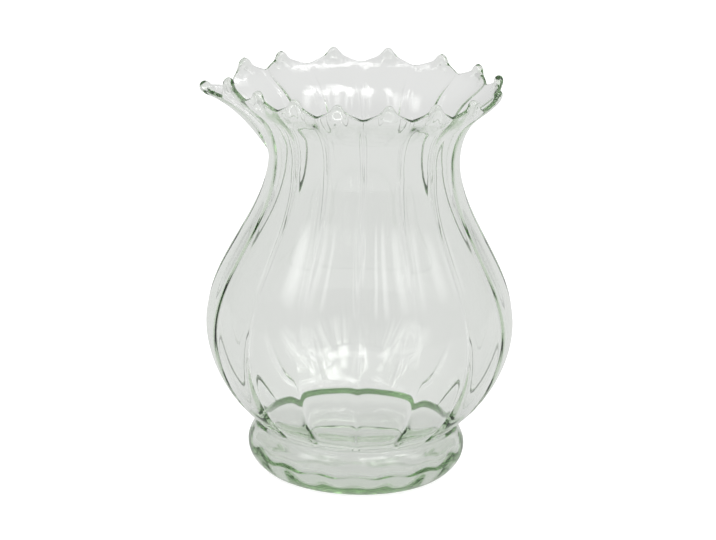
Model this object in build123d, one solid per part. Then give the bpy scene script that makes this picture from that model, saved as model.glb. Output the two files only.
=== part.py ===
from build123d import *
import math
import os

# A hand-blown glass vase: a lobed vessel with a flared and pointed rim, fused on a hollow rolled foot,
# with a drop of glass on every point of the rim. One point is drawn outwards as a long lip.
# The inside of the vessel goes on through a narrow throat into the foot, whose bottom closes the vase.
# Millimetres, +Z up. The origin is the centre of the flat face that the foot stands on.

# Counts
section_count = 13  # cross-sections that the vessel's wall is lofted through
cavity_section_count = 7  # and the inside of the foot
halvings = 30  # steps of a search along the outline

# Foot
foot_height = 22.5
foot_widest_height = 14.5
foot_bulge = 9.0  # of the roll beyond the seat of the vessel
foot_base_inset = 1.6  # of the flat ring that it stands on from the seat of the vessel
foot_base_width = 3.6  # of that ring
foot_recess_depth = 1.6  # of the hollow under it, inside the ring
foot_wall = 6.2  # round the cavity
foot_bottom = 5.4  # from the ground up to the cavity
foot_flute_depth = 1.4  # inside, between two lobes of the cavity
seat_radius = 44.2  # bottom of the vessel and flat top of the foot

# Vessel outline above the seat, on the crowns of the lobes: each radius, and the rise to it from below
belly_radius = 75.2
belly_rise = 55.5
shoulder_radius = 61.7
shoulder_rise = 37.0
neck_radius = 46.4
neck_rise = 43.0
flare_radius = 53.9
flare_rise = 21.5
rim_radius = 65.0
rim_rise = 13.0

# Vessel wall
wall = 3.0
flute_depth = 1.5  # outside, between two lobes of the belly
inner_flute_depth = 0.6

# Points of the rim
point_width = 6.6  # across the flat end that carries a drop
notch_depth = 2.6  # from the ends of two even points down to the bottom of the notch between them
lip_index = 7  # the point that is drawn out
lip_reach = 19.5  # outwards, where it ends
lip_drop = 8.0  # of its end below the ends of the other points

# Drops on the points
bead_width = 7.6
bead_depth = 5.6
bead_height = 4.4

# Cutters reach this far past what they cut
overrun = 4.0

# Shapes of curves, as plain ratios
bead_widest_share = 0.2  # height of a drop's widest place over its height
foot_base_slope_share = 0.5  # rise over run where the roll leaves the ground
cavity_slope_share = 0.3  # rise over run where the inside of the foot leaves its bottom
seat_slope_share = 0.67  # rise over run where the belly leaves the foot
rim_slope_share = 1.5  # rise over run of the flare where the points begin
lip_spread_share = 0.55  # spread of the drawn lip over the spacing of the points
least_notch_share = 0.15  # of a notch below the lower of its two points, over the notch depth
trim_share = 0.9  # width that is cut off flat over the spacing of the points
draw_power = 0.8  # how late up the neck the rim is drawn out of its even shape

# Hand-tooled points stand off their even places by these shares of the spacing
turn_shares = (
    -0.10, -0.06, -0.05, 0.09, 0.17, 0.33, 0.33, 0.14,
    -0.06, 0.20, 0.14, -0.02, -0.08, -0.15, -0.22, -0.10,
)
# and are taller or shorter than an even point by these shares of the notch depth
lift_shares = (
    0.10, 0.00, 0.15, 0.20, 0.20, 0.20, 0.40, 0.00,
    0.10, 0.35, 0.50, 0.40, 0.50, 0.20, -0.20, -0.50,
)

# Radii of the foot
foot_radius = seat_radius + foot_bulge
foot_base_radius = seat_radius - foot_base_inset
foot_recess_radius = foot_base_radius - foot_base_width
cavity_radius = foot_radius - foot_wall
cavity_bottom_radius = foot_base_radius - foot_wall
throat_radius = seat_radius - wall  # inside, where the vessel is fused on the foot

# Heights
belly_height = foot_height + belly_rise
shoulder_height = belly_height + shoulder_rise
neck_height = shoulder_height + neck_rise
flare_height = neck_height + flare_rise
rim_height = flare_height + rim_rise
lip_height = rim_height - lip_drop
top_height = rim_height + notch_depth + overrun

point_count = len(turn_shares)  # lobes of the wall, points of the rim and flutes in the foot
pitch = 360 / point_count


def draw_at(height):
    """Share of the rim's drawing-out that has happened at a height: 0 up to the neck, 1 at the lip."""
    climb = (height - neck_height) / (lip_height - neck_height)
    return min(max(climb, 0), 1) ** draw_power


def point_angle(index, height):
    """Angle of a lobe's crown, round from +X: even on the body, hand-tooled towards the rim."""
    turn = turn_shares[index % point_count] * draw_at(height)
    return pitch * (index + 0.5 + turn)


def lip_at(angle, height):
    """How far the wall is drawn outwards beside the lip."""
    off = (angle - point_angle(lip_index, height)) / (pitch * lip_spread_share)
    return lip_reach * draw_at(height) * math.exp(-(off**2))


def round_point(radius, angle, height):
    """Point of the wall at an angle round from +X, drawn out beside the lip."""
    reach = radius + lip_at(angle, height)
    turn = math.radians(angle)
    return (reach * math.cos(turn), reach * math.sin(turn), height)


def lobed_section(radius, height, depth):
    """Closed face across the vase at one height: one arc a lobe, with creases of the given depth between."""
    arcs = []
    for index in range(point_count):
        before, crown, after = (point_angle(index + step, height) for step in (-1, 0, 1))
        start = round_point(radius - depth, (before + crown) / 2, height)
        end = round_point(radius - depth, (crown + after) / 2, height)
        arcs.append(ThreePointArc(start, round_point(radius, crown, height), end))
    return Face(Wire(arcs))


def vessel_outline():
    """Half outline of the vessel on the crowns of its lobes, up to where the points begin."""
    return Spline(
        (seat_radius, 0, foot_height),
        (belly_radius, 0, belly_height),
        (shoulder_radius, 0, shoulder_height),
        (neck_radius, 0, neck_height),
        (flare_radius, 0, flare_height),
        (rim_radius, 0, rim_height),
        tangents=((1, 0, seat_slope_share), (1, 0, rim_slope_share)),
    )


def outline_radius(height):
    """Radius of the outline at a height, found by halving, and upright above where the points begin."""
    outline = vessel_outline()
    low, high = 0, 1
    for _ in range(halvings):
        middle = (low + high) / 2
        if (outline @ middle).Z < height:
            low = middle
        else:
            high = middle
    return (outline @ high).X


def vessel_sections(inset, depth):
    """Faces across the vessel, set in from its outline, with creases of the given depth on the belly."""
    outline = vessel_outline()
    sections = []
    for step in range(section_count):
        share = step / (section_count - 1)
        place = outline @ share
        along = outline % share
        radius = place.X - inset * along.Z
        height = place.Z + inset * along.X
        sections.append(lobed_section(radius, height, depth * radius / belly_radius))
    top_radius = rim_radius - inset
    sections.append(lobed_section(top_radius, top_height + inset, depth * top_radius / belly_radius))
    return sections


def point_seat(index):
    """Height of the flat end of a point, which its drop sits on."""
    end = lip_height if index % point_count == lip_index else rim_height
    return end + notch_depth * lift_shares[index % point_count]


def spacing(index):
    """Straight distance round the rim from one point to the next."""
    between = point_angle(index + 1, rim_height) - point_angle(index, rim_height)
    return 2 * rim_radius * math.sin(math.radians(between) / 2)


def rim_notch(index):
    """Cutter between one point of the rim and the next: round below, and never above the lower of the two."""
    ends = (point_seat(index), point_seat(index + 1))
    mean_end = sum(ends) / 2
    valley = min(mean_end - notch_depth, min(ends) - notch_depth * least_notch_share)
    half_width = (spacing(index) - point_width) / 2
    left = (neck_radius, -half_width, mean_end)
    right = (neck_radius, half_width, mean_end)
    top = top_height + overrun
    hollow = ThreePointArc(left, (neck_radius, 0, valley), right)
    sides = Polyline(right, (neck_radius, half_width, top), (neck_radius, -half_width, top), left)
    outline = Face(Wire([hollow, *sides.edges()]))
    cutter = extrude(outline, rim_radius + lip_reach + overrun - neck_radius, dir=(1, 0, 0))
    middle = (point_angle(index, rim_height) + point_angle(index + 1, rim_height)) / 2
    return Rot(0, 0, middle) * cutter


def point_trim(index):
    """Block that cuts one point of the rim off flat."""
    length = rim_radius + lip_reach + overrun - neck_radius
    width = trim_share * min(spacing(index - 1), spacing(index))
    cutter = Box(length, width, top_height, align=(Align.MIN, Align.CENTER, Align.MIN))
    return Rot(0, 0, point_angle(index, rim_height)) * Pos(neck_radius, 0, point_seat(index)) * cutter


def make_vessel():
    """The blown body: lobed wall, open below into the foot, and notched rim."""
    throat = lobed_section(throat_radius, foot_height - overrun, foot_flute_depth)
    hollow = loft([throat] + vessel_sections(wall, inner_flute_depth))
    body = loft(vessel_sections(0, flute_depth)) - hollow
    cutters = [rim_notch(index) for index in range(point_count)]
    cutters += [point_trim(index) for index in range(point_count)]
    return body - cutters


def foot_cavity():
    """Inside of the foot: lobed, from its bottom out to its widest and in to the throat."""
    outline = Spline(
        (cavity_bottom_radius, 0, foot_bottom),
        (cavity_radius, 0, foot_widest_height),
        (throat_radius, 0, foot_height),
        tangents=((1, 0, cavity_slope_share), (-1, 0, 1)),
    )
    places = [outline @ (step / (cavity_section_count - 1)) for step in range(cavity_section_count)]
    sections = [lobed_section(place.X, place.Z, foot_flute_depth) for place in places]
    sections.append(lobed_section(throat_radius, foot_height + overrun, foot_flute_depth))
    return loft(sections)


def make_foot():
    """The rolled foot: flat ring to stand on round a shallow hollow, flat where the vessel is fused on it."""
    recess = Spline(
        (0, 0, foot_recess_depth),
        (foot_recess_radius, 0, 0),
        tangents=((1, 0, 0), (foot_recess_radius, 0, -2 * foot_recess_depth)),
    )
    base = Line(recess @ 1, (foot_base_radius, 0, 0))
    roll = Spline(
        base @ 1,
        (foot_radius, 0, foot_widest_height),
        (seat_radius, 0, foot_height),
        tangents=((1, 0, foot_base_slope_share), (-1, 0, 0)),
    )
    top = Line(roll @ 1, (0, 0, foot_height))
    axis = Line(top @ 1, recess @ 0)
    solid = revolve(Face(Wire([recess, base, roll, top, axis])), Axis.Z)
    return solid - foot_cavity()


def make_bead(index):
    """Rounded drop of glass, flat where it sits on the end of its point."""
    half_height = bead_height * (1 - bead_widest_share)
    drop = scale(Sphere(1), by=(bead_depth / 2, bead_width / 2, half_height))
    drop = split(Pos(0, 0, bead_height * bead_widest_share) * drop, Plane.XY)
    seat = point_seat(index)
    angle = point_angle(index, rim_height)
    reach = outline_radius(seat) + lip_at(angle, seat) - wall / 2
    return Rot(0, 0, angle) * Pos(reach, 0, seat) * drop


os.makedirs("parts", exist_ok=True)
export_step(make_vessel(), "parts/vessel.step")
export_step(make_foot(), "parts/foot.step")
for number in range(point_count):
    export_step(make_bead(number), f"parts/rim_bead_{number + 1:02d}.step")
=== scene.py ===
import math

import bpy
import numpy as np
from mathutils import Matrix, Vector


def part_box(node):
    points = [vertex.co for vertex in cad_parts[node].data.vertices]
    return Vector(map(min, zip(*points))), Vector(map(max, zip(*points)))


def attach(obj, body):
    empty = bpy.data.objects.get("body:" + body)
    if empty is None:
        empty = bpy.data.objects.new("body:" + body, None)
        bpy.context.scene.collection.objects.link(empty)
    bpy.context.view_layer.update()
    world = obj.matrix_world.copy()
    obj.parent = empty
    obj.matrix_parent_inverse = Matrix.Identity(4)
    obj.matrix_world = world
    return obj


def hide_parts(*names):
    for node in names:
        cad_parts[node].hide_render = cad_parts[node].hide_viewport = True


# A hand-blown glass vase on white. The vessel, its hollow foot and the drops on its rim are fused hot,
# so one closed wall of glass, with creases and rims rounded by the fire, stands for all the solids.
# Metres, in the frame of the solids, +Z up. The wall is a grid of rings: it starts on the axis under the
# foot, goes out and up over the roll, the belly and the flare to the rim, and comes down inside.

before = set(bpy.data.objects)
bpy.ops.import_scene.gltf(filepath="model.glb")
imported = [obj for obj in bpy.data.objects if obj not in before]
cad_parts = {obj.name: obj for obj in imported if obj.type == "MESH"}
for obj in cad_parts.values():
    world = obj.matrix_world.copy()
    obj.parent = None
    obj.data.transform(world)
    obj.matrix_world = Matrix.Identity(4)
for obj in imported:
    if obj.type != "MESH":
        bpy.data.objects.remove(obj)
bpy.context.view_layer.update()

# Sizes read from the solids
foot_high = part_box("foot")[1]
vessel_low, vessel_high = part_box("vessel")
bead_nodes = sorted(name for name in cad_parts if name.startswith("rim_bead"))
bead_boxes = [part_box(name) for name in bead_nodes]
bead_middles = [(low + high) / 2 for low, high in bead_boxes]
bead_tops = np.array([high.z for low, high in bead_boxes])
bead_angles = np.array([math.atan2(middle.y, middle.x) for middle in bead_middles])
bead_reaches = np.array([math.hypot(middle.x, middle.y) for middle in bead_middles])
bead_height = bead_boxes[0][1].z - bead_boxes[0][0].z
foot_radius = foot_high.y
foot_height = foot_high.z
vessel_rise = vessel_high.z - vessel_low.z
vase_height = float(max(bead_tops))

# Counts and angles of the lobes, each of which ends in a point with a drop
lobe_count = len(bead_nodes)
lip_index = int(np.argmax(bead_reaches))
pitch = 2 * math.pi / lobe_count
even_angles = pitch * (np.arange(lobe_count) + 0.5)
turns = (bead_angles - even_angles + math.pi) % (2 * math.pi) - math.pi

# Outline of the vessel on the crowns of its lobes: shares of the belly's radius and of the vessel's rise
outline_shares = (
    (0.612, 0.004),
    (1.000, 0.324),
    (0.8205, 0.540),
    (0.617, 0.791),
    (0.7168, 0.9165),
    (0.858, 0.981),
    (0.868, 1.005),
    (0.864, 1.060),
)
neck_place = 3  # in that table
neck_radius_share, neck_height_share = outline_shares[neck_place]
lip_height_share = 0.9457
crown_share = 1.007  # reach of a lobe's crown on the belly over the half width of the vessel
seat_slope_share = 0.67  # rise over run where the belly leaves the foot

# Roll and underside of the foot: shares of its radius and height
base_radius_share = 0.82
recess_radius_share = 0.73
recess_depth_share = 0.015
foot_widest_share = 0.644
base_slope_share = 0.5  # rise over run where the roll leaves the ground

# Inside of the foot, from the throat down to its bottom: shares of the foot's radius and height
cavity_shares = (
    (1.030, 1.560),
    (0.955, 1.410),
    (0.885, 1.250),
    (0.836, 1.130),
    (0.820, 1.045),
    (0.832, 0.960),
    (0.865, 0.870),
    (0.912, 0.740),
    (0.930, 0.600),
    (0.865, 0.410),
    (0.720, 0.245),
    (0.580, 0.215),
    (0.000, 0.210),
)
throat_slope_share = 0.7  # fall over run where the throat begins
cavity_start_shares = (0.25, 0.50)  # along the inside of the foot, where its flutes begin
cavity_end_shares = (0.55, 0.75)  # and where they end

# Wall: its thickness over the height of the foot, and at the rim over the thickness elsewhere
wall_share = 0.12
rim_wall_share = 0.74
rim_wall_reach_share = 0.89  # how far below the edge the wall thins, over the height of the foot

# Lobes and creases: depths over the thickness of the wall
belly_lobe_share = 0.148
neck_lobe_share = 0.296
belly_crease_share = 0.0074
neck_crease_share = 0.444
side_crease_share = 0.296  # more, down the sides of the belly
low_crease_share = 0.407  # more, just above the foot
cavity_lobe_share = 0.74
low_crease_rise_share = 2.0  # how far up these reach, over the height of the foot
crease_power = 10
low_crease_power = 5

# Rounding of the creases over the pitch of the lobes
soft_round_share = 0.09
sharp_round_share = 0.006
inner_round_share = 0.05

# Hand-made unevenness: strength of each crease down the belly and just above the foot, from +X round
side_strength_shares = (0.5, 0, 0, 0, 0, 0, 0, 0, 0.5, 0.9, 1, 0.1, 0, 0.1, 1, 0.9)
low_strength_shares = (0.2, 0, 0, 0, 0, 0, 0, 0, 0.2, 0.6, 1, 1.35, 0.15, 1.35, 1, 0.6)

# Points of the rim: lengths over the height of a drop
valley_drop_share = 1.455  # from the mean of two points down to the valley between them
least_drop_share = 0.182  # from the lower of the two
lip_reach_share = 3.91  # of the drawn lip outwards
bead_depth_share = 0.95  # of a drop through the wall
drop_reach_share = 1.1  # of a drop down its point
# and widths over the spacing of the points
lip_spread_share = 0.55
drop_width_share = 0.115
thumb_width_share = 0.15
tip_round_share = 0.1
valley_round_share = 0.2
thumb_share = 0.24  # height of the thumb that ends a point over the height of the whole point
lip_drop_share = 1.5  # of the drop on the lip over the other drops
drop_power = 4
draw_power = 0.8  # how late up the neck the rim is drawn out of its even shape

# Mesh density
columns_a_lobe = 20
recess_rings = 6
base_rings = 3
roll_rings = 28
body_rings = 54
flare_rings = 32
edge_rings = 9
cavity_rings = 38
outline_steps = 2000
profile_polish = 3  # rounds of smoothing on the outer profile
throat_polish = 2  # and on the inner rings
fade_in_rings = (-2, 7)  # rings from the crease above the foot, between which the lobes grow
crease_gather_power = 1.6  # columns of the body gather at the creases
point_gather_power = 1.5  # columns of the rim gather at the points
body_gather_power = 1.15  # rings of the body gather at the foot
edge_gather_power = 1.5  # rings of the flare gather at the edge
least_share = 1e-6  # of the foot's radius, so that nothing is divided by zero on the axis

# Glass
glass_bend = 1.5  # refractive index
glass_colour = (0.20, 0.475, 0.085, 1)
glass_density = 15
ripple_scale = 34
ripple_detail = 1
ripple_strength = 0.4
ripple_height_share = 0.148  # over the thickness of the wall
polish_span = (0.4, 0.7)  # of the ripple, over which the gloss fades
polish_levels = (0, 0.012)

# Studio: what the camera sees, and levels that only the glass sees
floor_size_share = 60  # over the height of the vase
floor_grey = 0.5
floor_glow = 0.8
painted_shade_reach_shares = (1.03, 2.26)  # from the axis over the foot's radius, where the floor's painted shade fades
painted_shade_levels = (0.66, 0.77)
backdrop_span = (-0.95, -0.55)  # of a direction's Y
backdrop_levels = (0.42, 0.77)
overhead_span = (0.35, 0.80)  # of a direction's Z
overhead_levels = (0, 0.45)
light_bounces = 64

# Lamps: turn from the camera's side, climb, width and height in degrees, and glow
lamps = {
    "left_window": (-60, 40, 24, 38, 2.4),
    "left_strip": (-36, 40, 5, 32, 1.6),
    "front_strip": (9, 40, 5, 32, 1.5),
    "right_strip": (22, 40, 8, 34, 1.6),
    "right_window": (45, 40, 14, 32, 1.6),
    "side_window": (78, 40, 20, 38, 2.0),
    "top_window": (46, 66, 50, 18, 3.5),
    "high_left": (-44, 60, 12, 24, 4.0),
    "high_front": (14, 60, 14, 26, 4.5),
    "high_right": (54, 61, 14, 26, 5.0),
    "high_side": (80, 52, 16, 12, 6.0),
}
lamp_distance_share = 6.054  # over the height of the vase
lamp_fade = 16  # brings the middle of a lamp that fades to its edges back to full glow

# Camera: places over the height of the vase, roll in radians, lens and sensor in millimetres
camera_side_share = -0.0074
camera_back_share = 7.0636
camera_rise_share = 2.11  # above what it is aimed at
camera_aim_share = 0.5067
camera_roll = 0.0296
lens_length = 150.89
sensor_width = 36

# Lengths worked out from these
belly_radius = vessel_high.y * crown_share
neck_radius = belly_radius * neck_radius_share
neck_height = foot_height + neck_height_share * vessel_rise
lip_height = foot_height + lip_height_share * vessel_rise
throat_height = foot_height * cavity_shares[0][1]
wall = foot_height * wall_share
rim_wall = wall * rim_wall_share
rim_wall_reach = foot_height * rim_wall_reach_share
bead_depth = bead_height * bead_depth_share


def smooth_curve(points, start, end, count):
    """Cubic curve through points with the given directions at its ends, as count points."""
    points = np.array(points, float)
    steps = np.linalg.norm(np.diff(points, axis=0), axis=1)
    places = np.concatenate([[0], np.cumsum(steps)])
    size = len(points)
    matrix = np.zeros((size, size))
    right = np.zeros((size, 2))
    matrix[0, 0] = matrix[-1, -1] = 1
    right[0] = np.array(start) / np.linalg.norm(start)
    right[-1] = np.array(end) / np.linalg.norm(end)
    for i in range(1, size - 1):
        before, after = steps[i - 1], steps[i]
        matrix[i, i - 1 : i + 2] = after, 2 * (before + after), before
        left_slope = (points[i] - points[i - 1]) / before
        right_slope = (points[i + 1] - points[i]) / after
        right[i] = 3 * (after * left_slope + before * right_slope)
    slopes = np.linalg.solve(matrix, right)
    wanted = np.linspace(0, places[-1], count)
    span = np.clip(np.searchsorted(places, wanted, side="right") - 1, 0, size - 2)
    length = steps[span][:, None]
    t = ((wanted - places[span]) / steps[span])[:, None]
    a, b = points[span], points[span + 1]
    da, db = slopes[span] * length, slopes[span + 1] * length
    return (
        (2 * t**3 - 3 * t**2 + 1) * a
        + (t**3 - 2 * t**2 + t) * da
        + (3 * t**2 - 2 * t**3) * b
        + (t**3 - t**2) * db
    )


def straight(start, end, count):
    """Points from start up to, but without, end."""
    shares = np.arange(count)[:, None] / count
    return np.array(start) + (np.array(end) - np.array(start)) * shares


def smooth_step(value, low, high):
    """0 below low, 1 above high, and an even ramp between."""
    t = np.clip((value - low) / (high - low), 0, 1)
    return t * t * (3 - 2 * t)


def rounded(value, round_share):
    """Straight climb from 0 to 1, rounded where it begins."""
    return (np.hypot(value, round_share) - round_share) / (np.hypot(1, round_share) - round_share)


def polished(points, rounds):
    """Rounds the corners of a profile or of a wall's rings, keeping the two ends."""
    points = points.copy()
    for _ in range(rounds):
        points[1:-1] = (points[:-2] + 2 * points[1:-1] + points[2:]) / 4
    return points


# Columns round the axis: from -0.5 to 0.5 across each lobe, closer at the creases on the body
# and closer at the points on the rim
even_column = np.arange(lobe_count * columns_a_lobe)
lobe = even_column // columns_a_lobe
even_across = (even_column % columns_a_lobe) / columns_a_lobe - 0.5
to_crease = 1 - 2 * np.abs(even_across)
body_across = np.sign(even_across) * (1 - to_crease**crease_gather_power) / 2
rim_across = np.sign(even_across) * np.abs(2 * even_across) ** point_gather_power / 2

outline_points = [(r * belly_radius, foot_height + z * vessel_rise) for r, z in outline_shares]
outline = smooth_curve(outline_points, (1, seat_slope_share), (0, 1), outline_steps)
outline_radius, outline_height = outline.T


def near_crease(across, round_share):
    """0 on the crown of a lobe and 1 at the crease beside it, with the crease rounded."""
    return 1 - rounded(1 - 2 * np.abs(across), 2 * round_share)


def by_radius(on_belly, at_neck, radius):
    """A value carried from the belly to the neck by the radius of the wall."""
    gathered = np.clip((belly_radius - radius) / (belly_radius - neck_radius), 0, 1)
    return on_belly + (at_neck - on_belly) * gathered


def lobe_depth(near, radius):
    """Depth of the wall below the crowns of its round lobes."""
    return wall * by_radius(belly_lobe_share, neck_lobe_share, radius) * near**2


def outer_flute(across, radius, height):
    """Depth of the outer wall below the crowns of its lobes, with the creases between them."""
    nearest = (lobe + (across > 0)) % lobe_count
    side = np.array(side_strength_shares)[nearest]
    low = np.array(low_strength_shares)[nearest]
    belly_round = soft_round_share + (sharp_round_share - soft_round_share) * side
    near = near_crease(across, by_radius(belly_round, sharp_round_share, radius))
    belly_share = belly_crease_share + side_crease_share * side
    crease = by_radius(belly_share, neck_crease_share, radius) * near**crease_power
    low_top = foot_height * (1 + low_crease_rise_share)
    low = low * (1 - smooth_step(height, foot_height, low_top))
    low_crease = low_crease_share * low * near_crease(across, sharp_round_share) ** low_crease_power
    return lobe_depth(near, radius) + wall * (crease + low_crease)


def inner_flute(across, radius):
    """Depth of the inner wall, which follows the lobes but not their sharp creases."""
    return lobe_depth(near_crease(across, by_radius(soft_round_share, inner_round_share, radius)), radius)


def draw_at(height):
    """Share of the rim's drawing-out that has happened at a height."""
    return np.clip((height - neck_height) / (lip_height - neck_height), 0, 1) ** draw_power


def between_lobes(values, across):
    """Values of the lobes' crowns carried evenly across the creases between them."""
    near = values[lobe]
    other = np.where(across < 0, values[lobe - 1], values[(lobe + 1) % lobe_count])
    return near + (other - near) * smooth_step(np.abs(across), 0, 1)


def wall_ring(radius, height, across):
    """One ring of the wall without its flutes, drawn out beside the lip."""
    draw = draw_at(height)
    angle = pitch * (lobe + 0.5 + across) + draw * between_lobes(turns, across)
    lip_angle = even_angles[lip_index] + draw * turns[lip_index]
    off = (angle - lip_angle) / (pitch * lip_spread_share)
    reach = radius + lip_reach_share * bead_height * draw * np.exp(-(off**2))
    return np.stack([reach * np.cos(angle), reach * np.sin(angle), height + 0 * angle], -1)


def edge_heights(across):
    """Height round the rim where the wall begins to round over: points with thumbs, and valleys between."""
    tips = bead_tops - bead_depth / 2
    own = tips[lobe]
    other = np.where(across < 0, np.roll(tips, 1)[lobe], np.roll(tips, -1)[lobe])
    mean_valley = (own + other) / 2 - valley_drop_share * bead_height
    valley = np.minimum(mean_valley, np.minimum(own, other) - least_drop_share * bead_height)
    side = np.abs(across)
    flank = rounded(1 - rounded(2 * side, tip_round_share), valley_round_share)
    thumb = np.exp(-((side / thumb_width_share) ** drop_power))
    return valley + (own - valley) * ((1 - thumb_share) * flank + thumb_share * thumb)


def foot_profile():
    """Half outline of the underside and the roll of the foot, from the axis out to the crease."""
    base_radius = base_radius_share * foot_radius
    recess_radius = recess_radius_share * foot_radius
    recess = straight((0, 0), (recess_radius, 0), recess_rings)
    recess[:, 1] = recess_depth_share * foot_height * (1 - (recess[:, 0] / recess_radius) ** 2)
    base = straight((recess_radius, 0), (base_radius, 0), base_rings)
    widest = (foot_radius, foot_widest_share * foot_height)
    roll_points = [(base_radius, 0), widest, outline_points[0]]
    roll = smooth_curve(roll_points, (1, base_slope_share), (-1, 0), roll_rings + 1)
    return np.concatenate([recess, base, roll[:-1]])


def body_profile():
    """Half outline of the vessel from the crease up to the neck."""
    curve = outline[outline_height <= neck_height]
    steps = np.linalg.norm(np.diff(curve, axis=0), axis=1)
    places = np.concatenate([[0], np.cumsum(steps)])
    wanted = places[-1] * np.linspace(0, 1, body_rings + 1) ** body_gather_power
    return np.stack([np.interp(wanted, places, values) for values in curve.T], -1)


def lower_rings():
    """Outer rings from under the foot to the neck, the flutes on both sides, and the crease's ring."""
    foot = foot_profile()
    crease_ring = len(foot)
    profile = polished(np.concatenate([foot, body_profile()]), profile_polish)
    profile[:, 1] -= profile[:, 1].min()
    fade_start, fade_end = fade_in_rings
    on_body = smooth_step(np.arange(len(profile)) - crease_ring, fade_start, fade_end)
    rings, outer, inner = [], [], []
    for (radius, height), share in zip(profile, on_body):
        rings.append(wall_ring(radius, height, body_across))
        outer.append(share * outer_flute(body_across, radius, height))
        inner.append(share * inner_flute(body_across, radius))
    return np.array(rings), np.array(outer), np.array(inner), crease_ring


def upper_rings():
    """Outer rings from the neck to the edge of the rim, and the flutes on both sides."""
    rings, outer, inner = [], [], []
    for index in range(1, flare_rings + 1):
        climb = 1 - (1 - index / flare_rings) ** edge_gather_power
        across = body_across + (rim_across - body_across) * climb
        height = neck_height + (edge_heights(across) - neck_height) * climb
        radius = np.interp(height, outline_height, outline_radius)
        rings.append(wall_ring(radius, height, across))
        outer.append(outer_flute(across, radius, height))
        inner.append(inner_flute(across, radius))
    return np.array(rings), np.array(outer), np.array(inner)


def outward_normals(rings):
    """Unit normals of a grid of rings, outwards."""
    round_way = np.roll(rings, -1, 1) - np.roll(rings, 1, 1)
    normal = np.cross(round_way, np.gradient(rings, axis=0))
    return normal / np.linalg.norm(normal, axis=2, keepdims=True)


def outward_level(rings):
    """Unit directions from the axis straight out to each point of a grid of rings."""
    level = rings * (1, 1, 0)
    return level / np.maximum(np.linalg.norm(level, axis=2, keepdims=True), foot_radius * least_share)


def drop_swell(from_edge):
    """What the drops add to each side of the wall, by the distance from the edge of the rim."""
    across = np.exp(-((rim_across / drop_width_share) ** drop_power))
    along = np.exp(-((from_edge / (drop_reach_share * bead_height)) ** 2))
    size = np.where(lobe == lip_index, lip_drop_share, 1)
    return (bead_depth - rim_wall) / 2 * across * along * size


def rounded_edge(outer, inner, before):
    """Rings that carry the rim round from its outer to its inner edge. before is the ring under its edge."""
    middle, half = (outer + inner) / 2, (outer - inner) / 2
    half_length = np.linalg.norm(half, axis=1, keepdims=True)
    along = middle - before
    along = along - half * (np.sum(along * half, 1, keepdims=True) / half_length**2)
    along = along / np.linalg.norm(along, axis=1, keepdims=True)
    angles = math.pi * np.arange(1, edge_rings + 1) / (edge_rings + 1)
    return np.array([middle + half * math.cos(a) + along * half_length * math.sin(a) for a in angles])


def cavity_ring_list():
    """Inner rings from the throat down to the bottom of the foot."""
    points = [(r * foot_radius, z * foot_height) for r, z in cavity_shares]
    cavity = smooth_curve(points, (-1, -throat_slope_share), (-1, 0), cavity_rings + 1)[1:]
    place = np.arange(cavity_rings) / cavity_rings
    fluted = smooth_step(place, *cavity_start_shares) * (1 - smooth_step(place, *cavity_end_shares))
    rings = []
    for (radius, height), share in zip(cavity, fluted):
        depth = wall * cavity_lobe_share * share * np.sin(math.pi * body_across) ** 2
        rings.append(wall_ring(np.maximum(radius - depth, 0), height, body_across))
    return np.array(rings)


def make_wall():
    """Grid of rings of the whole wall of glass, from the axis under the foot to the axis on its bottom."""
    low, low_outer, low_inner, crease_ring = lower_rings()
    high, high_outer, high_inner = upper_rings()
    smooth = np.concatenate([low, high])
    outer_depth = np.concatenate([low_outer, high_outer])[:, :, None]
    inner_depth = np.concatenate([low_inner, high_inner])[crease_ring:, :, None]
    outward = outward_level(smooth)
    vessel = smooth[crease_ring:]
    normal = outward_normals(vessel)
    from_edge = np.linalg.norm(vessel - vessel[-1], axis=2)
    swell = drop_swell(from_edge)[:, :, None]
    thick = wall + (rim_wall - wall) * np.exp(-((from_edge / rim_wall_reach) ** 2))[:, :, None]
    outer = smooth - outward * outer_depth
    outer[crease_ring:] += normal * swell
    inner = vessel - normal * (thick + swell) - outward[crease_ring:] * inner_depth
    edge = rounded_edge(outer[-1], inner[-1], (outer[-2] + inner[-2]) / 2)
    inside = inner[np.max(inner[:, :, 2], axis=1) > throat_height][::-1]
    inside = polished(np.concatenate([inside, cavity_ring_list()]), throat_polish)
    return np.concatenate([outer, edge, inside])


def make_mesh(name, rings):
    """Closed mesh through rings of points, with one point at each end on the axis."""
    ring_count, column_count = rings.shape[:2]
    points = [rings[0, 0]] + list(rings[1:-1].reshape(-1, 3)) + [rings[-1, 0]]
    last = len(points) - 1
    faces = []

    def corner(ring, index):
        return 1 + (ring - 1) * column_count + index % column_count

    for index in range(column_count):
        faces.append((0, corner(1, index + 1), corner(1, index)))
        for ring in range(1, ring_count - 2):
            faces.append((
                corner(ring, index), corner(ring, index + 1),
                corner(ring + 1, index + 1), corner(ring + 1, index),
            ))
        faces.append((last, corner(ring_count - 2, index), corner(ring_count - 2, index + 1)))
    mesh = bpy.data.meshes.new(name)
    mesh.from_pydata([tuple(point) for point in points], [], faces)
    mesh.shade_smooth()
    mesh.update()
    piece = bpy.data.objects.new(name, mesh)
    bpy.context.scene.collection.objects.link(piece)
    return piece


def new_material(name):
    """Empty node material: its nodes, links and output."""
    material = bpy.data.materials.new(name)
    material.use_nodes = True
    nodes = material.node_tree.nodes
    nodes.clear()
    return material, nodes, material.node_tree.links, nodes.new("ShaderNodeOutputMaterial")


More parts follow.
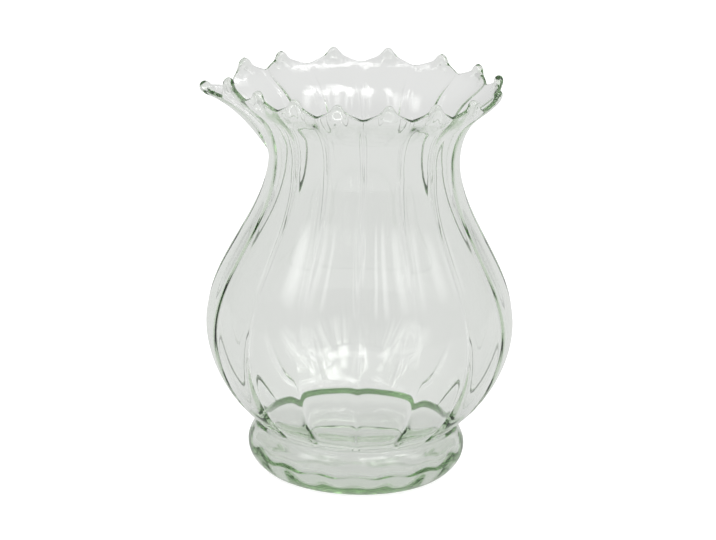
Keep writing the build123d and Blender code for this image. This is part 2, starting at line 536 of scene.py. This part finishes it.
def ramp(nodes, links, value, span, levels):
    """Even ramp of a value between two levels."""
    node = nodes.new("ShaderNodeMapRange")
    node.interpolation_type = "SMOOTHSTEP"
    node.inputs["From Min"].default_value, node.inputs["From Max"].default_value = span
    node.inputs["To Min"].default_value, node.inputs["To Max"].default_value = levels
    links.new(value, node.inputs["Value"])
    return node.outputs["Result"]


def worked_out(nodes, links, operation, first, second):
    """Result of a sum on two values, each a number or the output of a node."""
    node = nodes.new("ShaderNodeMath")
    node.operation = operation
    for socket, value in zip(node.inputs, (first, second)):
        if isinstance(value, (int, float)):
            socket.default_value = value
        else:
            links.new(value, socket)
    return node.outputs["Value"]


def seen_by_camera(nodes, links, seen, otherwise):
    """Shader that is one thing to the camera and another to light and glass."""
    path = nodes.new("ShaderNodeLightPath")
    choice = nodes.new("ShaderNodeMixShader")
    links.new(path.outputs["Is Camera Ray"], choice.inputs["Fac"])
    links.new(otherwise, choice.inputs[1])
    links.new(seen, choice.inputs[2])
    return choice.outputs["Shader"]


def glass_material():
    """Clear blown glass with a faint ripple, pale green where it is thick."""
    material, nodes, links, output = new_material("blown_glass")
    surface = nodes.new("ShaderNodeBsdfPrincipled")
    surface.inputs["Base Color"].default_value = (1, 1, 1, 1)
    surface.inputs["IOR"].default_value = glass_bend
    surface.inputs["Transmission Weight"].default_value = 1
    place = nodes.new("ShaderNodeTexCoord")
    ripple = nodes.new("ShaderNodeTexNoise")
    ripple.inputs["Scale"].default_value = ripple_scale
    ripple.inputs["Detail"].default_value = ripple_detail
    links.new(place.outputs["Object"], ripple.inputs["Vector"])
    wave = nodes.new("ShaderNodeBump")
    wave.inputs["Strength"].default_value = ripple_strength
    wave.inputs["Distance"].default_value = wall * ripple_height_share
    links.new(ripple.outputs[0], wave.inputs["Height"])
    links.new(wave.outputs["Normal"], surface.inputs["Normal"])
    links.new(ramp(nodes, links, ripple.outputs[0], polish_span, polish_levels), surface.inputs["Roughness"])
    links.new(surface.outputs["BSDF"], output.inputs["Surface"])
    tint = nodes.new("ShaderNodeVolumeAbsorption")
    tint.inputs["Color"].default_value = glass_colour
    tint.inputs["Density"].default_value = glass_density
    links.new(tint.outputs["Volume"], output.inputs["Volume"])
    return material


def floor_material():
    """White with a soft shadow to the camera. Through the glass, pale grey, with painted shade under the
    vase that is darker towards the axis.
    """
    material, nodes, links, output = new_material("floor_white")
    lit = nodes.new("ShaderNodeBsdfDiffuse")
    lit.inputs["Color"].default_value = (floor_grey, floor_grey, floor_grey, 1)
    white = nodes.new("ShaderNodeEmission")
    white.inputs["Strength"].default_value = floor_glow
    seen = nodes.new("ShaderNodeAddShader")
    links.new(lit.outputs["BSDF"], seen.inputs[0])
    links.new(white.outputs["Emission"], seen.inputs[1])
    place = nodes.new("ShaderNodeNewGeometry")
    from_axis = nodes.new("ShaderNodeVectorMath")
    from_axis.operation = "LENGTH"
    links.new(place.outputs["Position"], from_axis.inputs[0])
    # Painted shade: to the glass, the floor's grey glow is dimmer near the axis, under the vase, standing in
    # for its shadow.
    shade_span = [share * foot_radius for share in painted_shade_reach_shares]
    painted_shade = ramp(nodes, links, from_axis.outputs["Value"], shade_span, painted_shade_levels)
    grey = nodes.new("ShaderNodeEmission")
    links.new(painted_shade, grey.inputs["Strength"])
    both = seen_by_camera(nodes, links, seen.outputs["Shader"], grey.outputs["Emission"])
    links.new(both, output.inputs["Surface"])
    return material


def make_floor():
    """Wide floor that the vase stands on."""
    bpy.ops.mesh.primitive_plane_add(size=floor_size_share * vase_height, location=(0, 0, 0))
    floor = bpy.context.object
    floor.name = "floor"
    floor.data.materials.append(floor_material())


def make_world():
    """Studio: white to the camera. To the glass, dim in front, pale behind and lighter overhead."""
    world = bpy.data.worlds.new("studio")
    bpy.context.scene.world = world
    world.use_nodes = True
    nodes, links = world.node_tree.nodes, world.node_tree.links
    nodes.clear()
    output = nodes.new("ShaderNodeOutputWorld")
    white = nodes.new("ShaderNodeBackground")
    room = nodes.new("ShaderNodeBackground")
    direction = nodes.new("ShaderNodeTexCoord")
    parts = nodes.new("ShaderNodeSeparateXYZ")
    links.new(direction.outputs["Generated"], parts.inputs["Vector"])
    backdrop = ramp(nodes, links, parts.outputs["Y"], backdrop_span, backdrop_levels)
    overhead = ramp(nodes, links, parts.outputs["Z"], overhead_span, overhead_levels)
    links.new(worked_out(nodes, links, "ADD", backdrop, overhead), room.inputs["Strength"])
    both = seen_by_camera(nodes, links, white.outputs["Background"], room.outputs["Background"])
    links.new(both, output.inputs["Surface"])


def fade_lamp(data):
    """Makes a lamp fade evenly towards its edges."""
    data.use_nodes = True
    nodes, links = data.node_tree.nodes, data.node_tree.links
    place = nodes.new("ShaderNodeNewGeometry")
    parts = nodes.new("ShaderNodeSeparateXYZ")
    links.new(place.outputs["Parametric"], parts.inputs["Vector"])
    strength = lamp_fade
    for side in ("X", "Y"):
        rest = worked_out(nodes, links, "SUBTRACT", 1, parts.outputs[side])
        fade = worked_out(nodes, links, "MULTIPLY", parts.outputs[side], rest)
        strength = worked_out(nodes, links, "MULTIPLY", fade, strength)
    links.new(strength, nodes["Emission"].inputs["Strength"])


def make_lamp(name, turn, climb, width, height, glow):
    """Soft lamp round the vase: turned from the camera's side, climbing from the horizon, in degrees."""
    distance = lamp_distance_share * vase_height
    aim = Vector((0, 0, vessel_high.z / 2))
    a, c = math.radians(turn), math.radians(climb)
    place = aim + distance * Vector((math.sin(a) * math.cos(c), -math.cos(a) * math.cos(c), math.sin(c)))
    data = bpy.data.lights.new(name, "AREA")
    data.shape = "RECTANGLE"
    data.size = 2 * distance * math.tan(math.radians(width / 2))
    data.size_y = 2 * distance * math.tan(math.radians(height / 2))
    data.energy = glow * math.pi * data.size * data.size_y
    fade_lamp(data)
    lamp = bpy.data.objects.new(name, data)
    lamp.location = place
    lamp.rotation_euler = (aim - place).to_track_quat("-Z", "Y").to_euler()
    bpy.context.scene.collection.objects.link(lamp)


def make_camera():
    """Camera at the photograph's viewing angle, with its slight roll."""
    aim = vase_height * Vector((camera_side_share, 0, camera_aim_share))
    place = aim + vase_height * Vector((0, -camera_back_share, camera_rise_share))
    forward = (aim - place).normalized()
    right = forward.cross(Vector((0, 0, 1))).normalized()
    up = right.cross(forward)
    right_rolled = right * math.cos(camera_roll) + up * math.sin(camera_roll)
    up_rolled = up * math.cos(camera_roll) - right * math.sin(camera_roll)
    data = bpy.data.cameras.new("camera")
    data.sensor_width = sensor_width
    data.lens = lens_length
    camera = bpy.data.objects.new("camera", data)
    turn = Matrix((right_rolled, up_rolled, -forward)).transposed().to_4x4()
    camera.matrix_world = Matrix.Translation(place) @ turn
    bpy.context.scene.collection.objects.link(camera)
    bpy.context.scene.camera = camera


make_camera()
vase = make_mesh("vase_glass", make_wall())
vase.data.materials.append(glass_material())
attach(vase, "root")
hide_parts("vessel", "foot", *bead_nodes)
make_floor()
make_world()
for lamp_name, lamp_facts in lamps.items():
    make_lamp(lamp_name, *lamp_facts)

scene = bpy.context.scene
scene.view_settings.view_transform = "Standard"
scene.cycles.max_bounces = light_bounces
scene.cycles.transmission_bounces = light_bounces
scene.cycles.glossy_bounces = light_bounces
